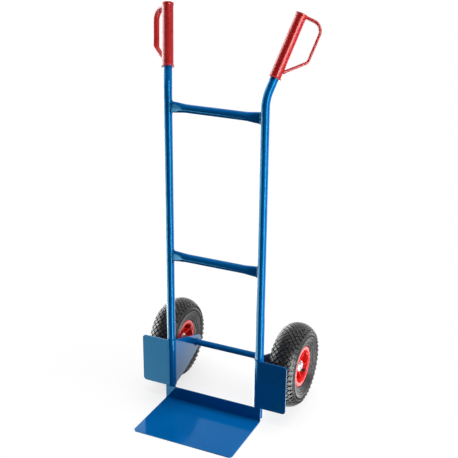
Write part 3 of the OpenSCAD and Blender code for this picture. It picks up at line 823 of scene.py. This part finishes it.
def tyre(side, label):
    wall = tyre_wall_outline()
    crown = [(*crown_point(a), 0.0) for a in range(tread_edge - 4, -tread_edge, -4)]
    half_lining = [(-0.0285, 0.0590, 0.001), (-0.0240, 0.0560, 0.002), (-0.0355, 0.0930, 0.004),
                   (-0.0290, 0.1120, 0.006)]
    lining = half_lining + [(0.0, 0.1205, 0.010)] + mirrored(half_lining)
    outline = list(reversed(wall)) + crown + [(-a, r, ease) for a, r, ease in wall] + lining
    carcass = lathe("carcass", side, outline, (wheel_x, axle_y, axle_z), 144, rubber)
    pitch = 2 * math.pi * tyre_r / block_rows
    half_block = pitch / 2 - groove / 2 * math.sqrt(2)
    lug_gap = pitch / 2 * (block_columns + 1) - 0.0035
    shared = dict(Rows=block_rows, Tyre_Radius=tyre_r, Crown_Radius=crown_r,
                  Centre=wheel_centre(side), Material=tread_rubber)
    blocks = grow(diamond_tread, "blocks", bpy.data.meshes.new("seed"), angle=25.0, Columns=block_columns,
                  Column_Pitch=pitch / 2, Half_Across=half_block, Half_Round=half_block,
                  Block_Height=block_h, Stagger=0.0, **shared)
    lugs = grow(diamond_tread, "lugs", bpy.data.meshes.new("seed"), angle=25.0, Columns=2,
                Column_Pitch=lug_gap, Half_Across=half_block - 0.0018, Half_Round=half_block - 0.0004,
                Block_Height=block_h * 0.8, Stagger=0.5, **shared)
    flutes = []
    for face in (side, -side):
        flute = prism("flute", [(0.0418, 0.0942), (0.0435, 0.0942), (0.0435, 0.0996), (0.0415, 0.0996)],
                      -0.0006, 0.0006, 0.0003)
        flutes.append(grow(ring_of_copies, "flutes", handed(flute, face), Copies=144, First_Angle=0.0,
                           Step_Angle=math.pi / 72, Centre=wheel_centre(side), Material=rubber))
    piece = join(label + "_pneumatic_tyre", carcass, blocks, lugs, *flutes)
    return place_piece(piece, label + "_wheel", "tyre_rubber", label + "_tyre")


for side, label in SIDES:
    tyre(side, label)

# ---- Rims ------------------------------------------------------------------
# Each rim is two moulded halves in bright red plastic, bolted through the web
# with the tyre's beads between them. A half has a rolled lip, a deep dish, six
# ribs from hub to barrel, and half of the hub.
lip_r, lip_out = 0.0625, 0.0315
barrel_r, seat_r = 0.0465, 0.0508
hub_r, hub_half = 0.0205, 0.020
web_t = 0.005
rib_count, rib_t = 6, 0.004
valve_angles = {"right": math.radians(137), "left": math.radians(160)}
rib_step = 2 * math.pi / rib_count


def red_plastic(name, deep, light, gloss, depth, edges):
    """Moulded plastic: a soft gloss over faint flow clouds. edges is how far
    its corners are lighter, a painted highlight."""
    # bright is the corners' colour: a painted highlight.
    bright = tuple(min(1.0, c * 1.3 + 0.03) for c in light)
    return finish(name, (deep, light), (0.45, 0.36, 0.33), drift=16.0, relief=400.0, gloss=gloss,
                  dusty=0.012, depth=depth, edge=(bright, edges), Specular_IOR_Level=0.5)


# The rim's corners, the rolled lip's edges among them, get half of that painted highlight.
rim_plastic = red_plastic("rim_plastic", (0.58, 0.008, 0.009), (0.70, 0.020, 0.018),
                          (0.18, 0.30), 0.00002, 0.5)


def rim_half(side, label, out, word):
    """out is 1 for the half that faces outwards and -1 for the inner one."""
    outline = [(0.0002, 0.0152, 0), (hub_half, 0.0152, 0.0006), (hub_half, hub_r - 0.0004, 0.0012),
               (web_t, hub_r + 0.0006, 0.0030), (web_t, barrel_r - 0.0006, 0.0035),
               (lip_out - 0.0060, barrel_r + 0.0014, 0.0020), (lip_out - 0.0012, barrel_r + 0.0034, 0.0012),
               (lip_out, barrel_r + 0.0062, 0.0020), (lip_out, lip_r - 0.0030, 0.0015),
               (lip_out - 0.0006, lip_r - 0.0002, 0.0012), (lip_out - 0.0035, lip_r, 0.0008),
               (lip_out - 0.0035, seat_r, 0.0020), (0.0200, seat_r, 0.0010), (0.0160, 0.0488, 0.001),
               (0.0002, 0.0488, 0)]
    turned = [(out * a, r, ease) for a, r, ease in outline]
    body = lathe("rim_body", side, turned, (wheel_x, axle_y, axle_z), 96, rim_plastic)
    rib_outline = [(web_t - 0.001, hub_r - 0.0012), (hub_half - 0.0022, hub_r - 0.0012),
                   (hub_half - 0.0010, hub_r + 0.0040), (lip_out - 0.0066, barrel_r + 0.0012),
                   (web_t - 0.001, barrel_r + 0.0012)]
    rib = prism("rib", [(out * a, r) for a, r in rib_outline], -rib_t / 2, rib_t / 2, 0.0009)
    ribs = grow(ring_of_copies, "ribs", handed(rib, side), Copies=rib_count,
                First_Angle=-valve_angles[label] - rib_step / 2, Step_Angle=rib_step,
                Centre=wheel_centre(side), Material=rim_plastic)
    piece = join(f"{label}_rim_{word}_moulding", body, ribs)
    return place_piece(piece, label + "_wheel", "rim_plastic", f"{label}_rim_{word}_half")


for side, label in SIDES:
    rim_half(side, label, 1, "outer")
    rim_half(side, label, -1, "inner")

# ---- Rim bolts, bearing and inner tube --------------------------------------
# Three zinc bolts with nuts clamp each rim. The hub turns on twelve steel
# needle rollers in a white nylon cage, in a pressed steel sleeve.
bolt_orbit = (hub_r + barrel_r) / 2
bolt_head_r, bolt_head_t, nut_t, bolt_r = 0.00575, 0.004, 0.005, 0.003
bolt_soft = 0.0005
needle_r, needle_orbit = 0.00145, 0.0115


def hexagon(low, high, r, lift):
    """A six-sided head or nut along X, its centre lifted from the axis."""
    outline = [(r * math.cos(math.pi / 3 * i), r * math.sin(math.pi / 3 * i)) for i in range(6)]
    mesh = prism("hexagon", outline, low, high, bolt_soft)
    mesh.transform(Matrix.Translation((0, 0, lift)) @ Matrix.Rotation(-math.pi / 2, 4, "Z"))
    return mesh


def round_bar(low, high, r, lift, count=20, soft=0.0004):
    """A short bar along X, its centre lifted from the axis, with soft ends."""
    rings = []
    for x, radius in ((low, r - soft), (low + soft, r), (high - soft, r), (high, r - soft)):
        rings.append([Vector((x, radius * math.sin(2 * math.pi * i / count),
                              lift + radius * math.cos(2 * math.pi * i / count))) for i in range(count)])
    return skin("round_bar", rings, closed=False)


def bolt_set(side, label, name, parts, node):
    copies = [grow(ring_of_copies, name, handed(mesh, side), angle=30.0, Copies=3,
                   First_Angle=-valve_angles[label] + rib_step, Step_Angle=2 * rib_step,
                   Centre=wheel_centre(side), Material=zinc) for mesh in parts]
    return place_piece(join(name, *copies), label + "_wheel", "zinc_plate", node)


for side, label in SIDES:
    bolt_set(side, label, label + "_bolts",
             [hexagon(web_t, web_t + bolt_head_t, bolt_head_r, bolt_orbit),
              round_bar(-web_t - nut_t - 0.001, web_t + 0.001, bolt_r, bolt_orbit)], label + "_rim_bolts")
    bolt_set(side, label, label + "_nuts",
             [hexagon(-web_t - nut_t, -web_t, bolt_head_r, bolt_orbit)], label + "_rim_nuts")
    roller_low, roller_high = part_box(label + "_bearing_rollers")
    roller_half = (roller_high.x - roller_low.x) / 2
    needle = round_bar(-roller_half, roller_half, needle_r, needle_orbit, 12, 0.0002)
    needles = grow(ring_of_copies, label + "_needles", needle, Copies=12, First_Angle=math.pi / 2,
                   Step_Angle=math.pi / 6, Centre=wheel_centre(side), Material=steel)
    place_piece(needles, label + "_wheel", "bearing_steel", label + "_bearing_rollers")


def nylon():
    return finish("cage_nylon", ((0.70, 0.68, 0.6), (0.80, 0.79, 0.74)), (0.3, 0.28, 0.24),
                  drift=40.0, relief=1200.0, gloss=(0.35, 0.5), dusty=0.1, depth=0.00003)


def soft_rubber():
    """Smooth moulded rubber, for the valves and the inner tubes."""
    return finish("soft_rubber", ((0.010, 0.010, 0.011), (0.02, 0.02, 0.021)), (0.2, 0.19, 0.17),
                  drift=50.0, relief=1100.0, gloss=(0.3, 0.45), dusty=0.15, depth=0.00006)


cage_white, valve_black = nylon(), soft_rubber()
for side, label in SIDES:
    for node, material in (("_hub_sleeve", steel), ("_roller_cage", cage_white),
                           ("_inner_tube", valve_black)):
        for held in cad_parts[label + node].material_slots:
            held.material = material

# ---- Valves -----------------------------------------------------------------
# A rubber stem leaves the inner tube through the rim, bends to run along the
# axle's direction, and ends in a ribbed dust cap.
valve_orbit, valve_bend, valve_out = 0.038, 0.008, 0.012
valve_r, valve_cap_r, valve_cap_len = 0.0035, 0.0045, 0.009


def valve(side, label):
    a0 = valve_angles[label]
    up = Vector((0, math.sin(a0), math.cos(a0)))
    out = Vector((side, 0, 0))
    across = up.cross(out)
    middle = Vector(wheel_centre(side))
    tip = lip_out - 0.003
    path = [(valve_out, 0.0520, 1.15), (valve_out, 0.0500, 1.0), (valve_out, valve_orbit + valve_bend, 1.0)]
    for i in range(1, 9):
        a = math.pi / 2 * i / 8
        path.append((valve_out + valve_bend * (1 - math.cos(a)),
                     valve_orbit + valve_bend * (1 - math.sin(a)), 1.0))
    path += [(tip - 0.010, valve_orbit, 1.0), (tip - 0.0095, valve_orbit, 0.9), (tip, valve_orbit, 0.9)]
    rings = []
    for k, (a, r, size) in enumerate(path):
        ahead, behind = path[min(k + 1, len(path) - 1)], path[max(k - 1, 0)]
        along = (out * (ahead[0] - behind[0]) + up * (ahead[1] - behind[1])).normalized()
        side_way = along.cross(across)
        rings.append([middle + out * a + up * r + valve_r * size * (
            across * math.cos(math.pi * i / 12) + side_way * math.sin(math.pi * i / 12))
            for i in range(24)])
    stem = add_piece(label + "_valve", skin(label + "_valve", rings, closed=False), valve_black)
    place_piece(stem, label + "_wheel", "valve_rubber", label + "_valve_stem")

    at = middle + up * valve_orbit
    start = tip - valve_cap_len + 0.002
    end = start + valve_cap_len
    outline = [(start, valve_cap_r * 0.8, 0), (start, valve_cap_r, 0.0004),
               (start + 0.0024, valve_cap_r, 0.0003), (start + 0.003, valve_cap_r - 0.0006, 0.0003),
               (end, valve_cap_r - 0.0008, 0.0012), (end, 0, 0), (start, 0, 0)]
    cap = lathe("cap", side, outline, (wheel_x, at.y, at.z), 32, valve_black)
    ridge = round_bar(start + 0.0032, end - 0.0012, 0.0004, valve_cap_r - 0.0006, 8, 0.0002)
    ridges = grow(ring_of_copies, "ridges", handed(ridge, side), Copies=16, First_Angle=0.0,
                  Step_Angle=math.pi / 8, Centre=(side * wheel_x, at.y, at.z), Material=valve_black)
    piece = join(label + "_dust_cap", cap, ridges)
    return place_piece(piece, label + "_wheel", "valve_rubber", label + "_valve_cap")


for side, label in SIDES:
    valve(side, label)

# ---- Grips ------------------------------------------------------------------
# Moulded in glossy red plastic and pushed on hard: a sleeve with a thin flange
# at its mouth and a closed end, and a flat strap that bows out over the hand
# to guard the knuckles.
grip_start, grip_len = 0.059, 0.182
grip_out, grip_in = 0.016, 0.01255
flange_r, flange_t, end_t = 0.0185, 0.004, 0.0035
loop_reach, loop_turn = 0.065, math.radians(31)
loop_top_r, loop_low_r, loop_foot = 0.028, 0.014, 0.024
strap_half, strap_t = 0.009, 0.0075
bead_half, bead_h = 0.0012, 0.0005
root_len = 0.007

grip_plastic = red_plastic("grip_plastic", (0.33, 0.006, 0.008), (0.39, 0.010, 0.010),
                           (0.26, 0.34), 0.000003, 0.0)


def handle_place(side):
    """Matrix of the handle's frame: Z along it from its bend, Y back."""
    return (Matrix.Diagonal((side, 1, 1, 1)) @ Matrix.Translation((stile_x, stile_y, 0))
            @ Matrix.Rotation(-handle_turn, 4, "Z") @ Matrix.Translation((0, 0, bend_height))
            @ Matrix.Rotation(-handle_tilt, 4, "X"))


def rounded_path(corners, step=0.0015):
    """Points and directions along straight runs joined by arcs. Corners are
    (y, z, radius)."""
    points = [Vector(corners[0][:2])]
    for i in range(1, len(corners) - 1):
        corner, r = Vector(corners[i][:2]), corners[i][2]
        back = (Vector(corners[i - 1][:2]) - corner).normalized()
        ahead = (Vector(corners[i + 1][:2]) - corner).normalized()
        half = back.angle(ahead) / 2
        centre = corner + (back + ahead).normalized() * r / math.sin(half)
        start = corner + back * r / math.tan(half)
        spoke = start - centre
        sweep = math.pi - 2 * half
        turn = 1 if back.cross(ahead) < 0 else -1
        steps = max(4, round(r * sweep / step))
        for k in range(steps + 1):
            a = turn * sweep * k / steps
            points.append(centre + Vector((spoke.x * math.cos(a) - spoke.y * math.sin(a),
                                           spoke.x * math.sin(a) + spoke.y * math.cos(a))))
    return points + [Vector(corners[-1][:2])]


def strap_section(flare):
    """Points (across, through) round the strap, with a low bead along the
    middle of both faces. It swells where it grows out of the sleeve."""
    half, t = strap_half * (1 + 0.10 * flare), strap_t / 2 * (1 + 0.35 * flare)
    flat = half - t * 0.8
    bead = [(-bead_half - 0.001, t), (-bead_half, t + bead_h),
            (bead_half, t + bead_h), (bead_half + 0.001, t)]
    edge = [(flat + t * 0.8 * math.sin(math.pi * i / 8), t * math.cos(math.pi * i / 8))
            for i in range(1, 8)]
    half_round = bead + [(flat, t)] + edge + [(flat, -t)]
    return half_round + [(-a, -b) for a, b in half_round]


def strap_rings():
    """Sections along the loop, four times as close where it meets the sleeve."""
    top = grip_start + grip_len - strap_t / 2
    foot = grip_start + loop_foot
    corner = foot + loop_reach - grip_out
    way = rounded_path([(grip_out, top, 0), (loop_reach, top, loop_top_r),
                        (loop_reach, corner, loop_low_r), (grip_out, foot, 0)])
    line = [Vector((0.0, top))]
    for a, b in zip(way, way[1:]):
        count = max(1, round((b - a).length / 0.004))
        if min((a - way[0]).length, (b - way[-1]).length) < root_len:
            count *= 4
        line += [a.lerp(b, k / count) for k in range(count)]
    line += [way[-1], Vector((grip_out - 0.002, foot - 0.002))]
    spot = Matrix.Rotation(-loop_turn, 4, "Z")
    rings = []
    for k, p in enumerate(line):
        along = (line[min(k + 1, len(line) - 1)] - line[max(k - 1, 0)]).normalized()
        low_gap = max(0.0, 1 - (p - way[-1]).length / root_len)
        top_gap = max(0.0, 1 - (p - way[0]).length / root_len)
        flare = max(low_gap, 0.25 * top_gap) ** 2
        rings.append([spot @ Vector((u, p.x - v * along.y, p.y + v * along.x))
                      for u, v in strap_section(flare)])
    return rings


def grip(side, label):
    place = handle_place(side)
    end = grip_start + grip_len
    outline = [(grip_start, grip_in, 0.0004), (grip_start, flange_r, 0.0008),
               (grip_start + flange_t * 0.55, flange_r, 0.0012),
               (grip_start + flange_t, grip_out + 0.0002, 0.0015),
               (end - 0.0075, grip_out, 0.0010), (end - 0.0055, grip_out + 0.0011, 0.0010),
               (end, grip_out + 0.0011, 0.0012), (end - 0.0001, 0, 0), (end - end_t, 0, 0),
               (end - end_t, grip_in, 0.0008)]
    rings = [[place @ Vector((r * math.cos(math.pi * i / 36), r * math.sin(math.pi * i / 36), z))
              for i in range(72)] for z, r in eased(outline)]
    sleeve = add_piece("sleeve", skin("sleeve", rings, closed=True), grip_plastic)
    rings = [[place @ p for p in ring] for ring in strap_rings()]
    loop = add_piece("loop", skin("loop", rings, closed=False), grip_plastic, 50.0)
    piece = join(label + "_hand_grip", sleeve, loop)
    return place_piece(piece, "frame", "grip_plastic", label + "_grip")


for side, label in SIDES:
    grip(side, label)

# ---- Floor, light and camera ------------------------------------------------
# A plain pale studio: pale paper that glows white to the camera, a painted glow over its
# # own shadows, a white room, and two wide soft boxes. The streaks down the tubes and on
# # the sheet are the reflections of soft panels that only glossy surfaces see.


def studio_floor():
    """Pale paper. It's kept out of reflections, as a black flag in front of a
    glossy thing does, so that the enamel keeps its depth. To the camera it
    glows white over its own shadows, a painted glow; to other rays it's a
    darker grey, which throws less light back onto the frame."""
    half = 6.0
    floor = add_piece("floor", sheet_grid("floor", [[Vector((x, y, 0)) for y in (-half, half)]
                                                    for x in (-half, half)]))
    material = bpy.data.materials.new("floor_paper")
    material.use_nodes = True
    tree = material.node_tree
    place = tree.nodes.new("ShaderNodeTexCoord").outputs["Object"]
    seen = tree.nodes.new("ShaderNodeLightPath").outputs["Is Camera Ray"]
    pale = blend_colours(tree, noise(tree, place, 3.0), (0.9, 0.9, 0.9), (0.93, 0.93, 0.93))
    # To every ray but the camera's the paper is a darker grey, so it throws less light onto the frame.
    paper = wire(tree, tree.nodes["Principled BSDF"], Roughness=0.9, Specular_IOR_Level=0.1,
                 Base_Color=blend_colours(tree, seen, (0.42, 0.42, 0.42), pale))
    away = tree.nodes.new("ShaderNodeVectorMath")
    away.operation = "LENGTH"
    feed(tree, away.inputs[0], place)
    # The paper glows white to the camera, three quarters near the truck and fully further out: a painted
    # glow over its shadows.
    far = calc(tree, "MULTIPLY", spread(tree, away.outputs["Value"], 0.2, 0.7, 0.75, 1.0), seen)
    white = add_node(tree, "ShaderNodeEmission", Color=(1.0, 1.0, 1.0, 1.0), Strength=1.0)
    mixed = tree.nodes.new("ShaderNodeMixShader")
    for socket, value in zip(mixed.inputs, (far, paper, white)):
        feed(tree, socket, value)
    wire(tree, tree.nodes["Material Output"], Surface=mixed)
    floor.data.materials.append(material)
    floor.visible_glossy = False


def studio_sky():
    """White to the eye. As light it's brightest low down behind on the left,
    dimmer above and on the right, and nearly dark on the camera's side. Glossy
    surfaces also see soft panels, each from a turn to a turn in degrees from
    the load side, from a height to a height, and with a glow."""
    panel_edge = 0.06
    world = bpy.data.worlds.new("studio")
    bpy.context.scene.world = world
    world.use_nodes = True
    tree = world.node_tree
    way = tree.nodes.new("ShaderNodeTexCoord").outputs["Generated"]
    part = add_node(tree, "ShaderNodeSeparateXYZ", Vector=way).outputs
    rays = tree.nodes.new("ShaderNodeLightPath").outputs
    low = spread(tree, part["X"], -0.15, 0.15, 1.4, 0.4)
    back = spread(tree, part["Z"], -0.1, 0.2, low, 0.5)
    light = spread(tree, part["Y"], -0.05, 0.3, 0.03, back)
    turn = calc(tree, "ARCTAN2", part["X"], calc(tree, "MULTIPLY", part["Y"], -1.0))
    for left, right, bottom, top, glow in (
        (-150, -38, -0.6, 0.5, 3.6), (-95, -79, -0.6, 0.5, 9.0), (54, 78, -1.0, 0.5, 13.0),
        (154, 178, -0.52, -0.2, 2.4), (-62, -28, -0.62, -0.3, 4.4),
    ):
        panel = calc(tree, "MULTIPLY", rays["Is Glossy Ray"], glow)
        for place, first, last in ((turn, math.radians(left), math.radians(right)),
                                   (part["Z"], bottom, top)):
            panel = calc(tree, "MULTIPLY", panel, spread(tree, place, first - panel_edge, first))
            panel = calc(tree, "MULTIPLY", panel, spread(tree, place, last + panel_edge, last))
        light = calc(tree, "ADD", light, panel)
    wire(tree, tree.nodes["Background"], Color=(1.0, 1.0, 1.0, 1.0),
         Strength=spread(tree, rays["Is Camera Ray"], 0.0, 1.0, light, 1.0))


def soft_box(name, place, aim, size, power):
    """A rectangular soft light that glossy surfaces don't show."""
    light = bpy.data.lights.new(name, "AREA")
    light.shape = "RECTANGLE"
    light.size, light.size_y, light.energy = *size, power
    lamp = bpy.data.objects.new(name, light)
    bpy.context.scene.collection.objects.link(lamp)
    lamp.location = place
    lamp.rotation_euler = (Vector(aim) - Vector(place)).to_track_quat("-Z", "Y").to_euler()
    lamp.visible_glossy = False


studio_floor()
studio_sky()
soft_box("right_fill", (2.3, 0.2, 0.6), (0.2, 0.1, 0.1), (1.0, 1.2), 80.0)
soft_box("overhead_box", (-0.3, 0.3, 3.2), (-0.1, 0.2, 0), (3.0, 3.0), 98.0)

camera_turn, camera_rise, camera_roll = math.radians(24.899), math.radians(21.453), math.radians(0.541)
camera_data = bpy.data.cameras.new("camera")
camera_data.lens = 75.42
camera = bpy.data.objects.new("camera", camera_data)
bpy.context.scene.collection.objects.link(camera)
camera.matrix_world = (Matrix.Translation((1.1017, -2.3028, 1.5813)) @ Matrix.Rotation(camera_turn, 4, "Z")
                       @ Matrix.Rotation(math.pi / 2 - camera_rise, 4, "X")
                       @ Matrix.Rotation(camera_roll, 4, "Z"))
bpy.context.scene.camera = camera
bpy.context.scene.view_settings.view_transform = "Standard"
